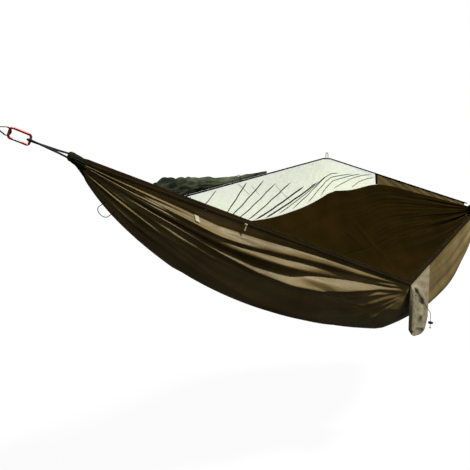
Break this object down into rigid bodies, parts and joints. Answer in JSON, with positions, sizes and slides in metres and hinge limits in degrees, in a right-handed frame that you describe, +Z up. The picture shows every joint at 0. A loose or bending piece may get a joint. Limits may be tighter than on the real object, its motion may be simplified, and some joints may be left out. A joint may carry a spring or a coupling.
{
  "type": "hammock tent",
  "caption": "Gathered-end camping hammock with a zipped bug net, one net side rolled up, hung from webbing straps by carabiners, with a stuff sack on its hem.",
  "frame": {"origin": "where the tree's rope bears in the head strap's hang loop", "axes": "+X along the bed from head to foot, +Y to the far side with the net, +Z up as hung"},
  "size_m": [3.5084, 0.8225, 0.9678],
  "materials": {
    "webbing_red_brown": "dull woven webbing",
    "anodised_red": "red anodised, satin",
    "steel": "plain bright",
    "cord_black": "black braid",
    "nylon_coyote": "coyote ripstop nylon, slight sheen",
    "nylon_dark": "dark hem and bunched cloth",
    "net_olive": "bunched fine net",
    "net_clear": "fine see-through net",
    "zip_beige": "moulded coil and slider",
    "tab_beige": "pale cloth",
    "lock_black": "moulded"
  },
  "bodies": {
    "tree_straps": {"head_tree_strap": "webbing_red_brown", "foot_tree_strap": "webbing_red_brown"},
    "bed": {"bundle_tie": "cord_black", "centre_panel": "nylon_coyote", "far_side_panel": "nylon_coyote", "far_top_hem": "nylon_dark", "foot_carabiner": "anodised_red", "foot_gate_pin": "steel", "foot_gather": "nylon_dark", "foot_gusset": "nylon_coyote", "foot_sling": "cord_black", "head_carabiner": "anodised_red", "head_gate_pin": "steel", "head_gather": "nylon_dark", "head_sling": "cord_black", "keel_loop": "cord_black", "near_hem_band": "nylon_dark", "near_side_panel": "nylon_coyote", "near_zip_tape": "zip_beige", "net_bundle": "net_olive", "net_end_seam": "nylon_dark", "net_wall": "net_clear", "peak_loop": "cord_black", "side_tab": "tab_beige"},
    "head_gate": {"head_carabiner_gate": "steel"},
    "foot_gate": {"foot_carabiner_gate": "steel"},
    "slider": {"zip_slider": "zip_beige"},
    "pull_tab": {"zip_pull": "zip_beige"},
    "sack": {"stuff_sack": "tab_beige", "sack_drawcord": "cord_black"},
    "lock": {"cord_lock": "lock_black"},
    "plunger": {"cord_lock_plunger": "lock_black"}
  },
  "joints": [
    {"name": "bed_swing", "type": "hinge", "parent": "tree_straps", "child": "bed", "pos_m": [0.17957, 0, -0.06509], "axis": [0.9972, 0, -0.0746], "range_deg": [-12, 12]},
    {"name": "head_gate_hinge", "type": "hinge", "parent": "bed", "child": "head_gate", "pos_m": [0.21974, 0, -0.09774], "axis": [0, 1, 0], "range_deg": [0, 22], "stiffness_Nm_per_rad": 0.05, "springref_deg": -28.65},
    {"name": "foot_gate_hinge", "type": "hinge", "parent": "bed", "child": "foot_gate", "pos_m": [3.28025, 0, -0.33274], "axis": [0, -1, 0], "range_deg": [0, 22], "stiffness_Nm_per_rad": 0.05, "springref_deg": -28.65},
    {"name": "zip_travel", "type": "slide", "parent": "bed", "child": "slider", "axis": [0.9017, -0.2538, -0.35], "range_m": [-0.36, 0.78]},
    {"name": "pull_flap", "type": "hinge", "parent": "slider", "child": "pull_tab", "pos_m": [0.9737, -0.20193, -0.38421], "axis": [-0.9017, 0.2538, 0.35], "range_deg": [-8, 110]},
    {"name": "sack_flap", "type": "hinge", "parent": "bed", "child": "sack", "pos_m": [1.7616, -0.40776, -0.68667], "axis": [-0.9428, -0.2654, -0.2018], "range_deg": [-2, 50]},
    {"name": "lock_travel", "type": "slide", "parent": "sack", "child": "lock", "axis": [0, 0, 1], "range_m": [-0.012, 0.014]},
    {"name": "plunger_press", "type": "slide", "parent": "lock", "child": "plunger", "axis": [-0.271, 0.9626, 0], "range_m": [0, 0.0028], "stiffness_N_per_m": 300, "springref_m": -0.004}
  ]
}
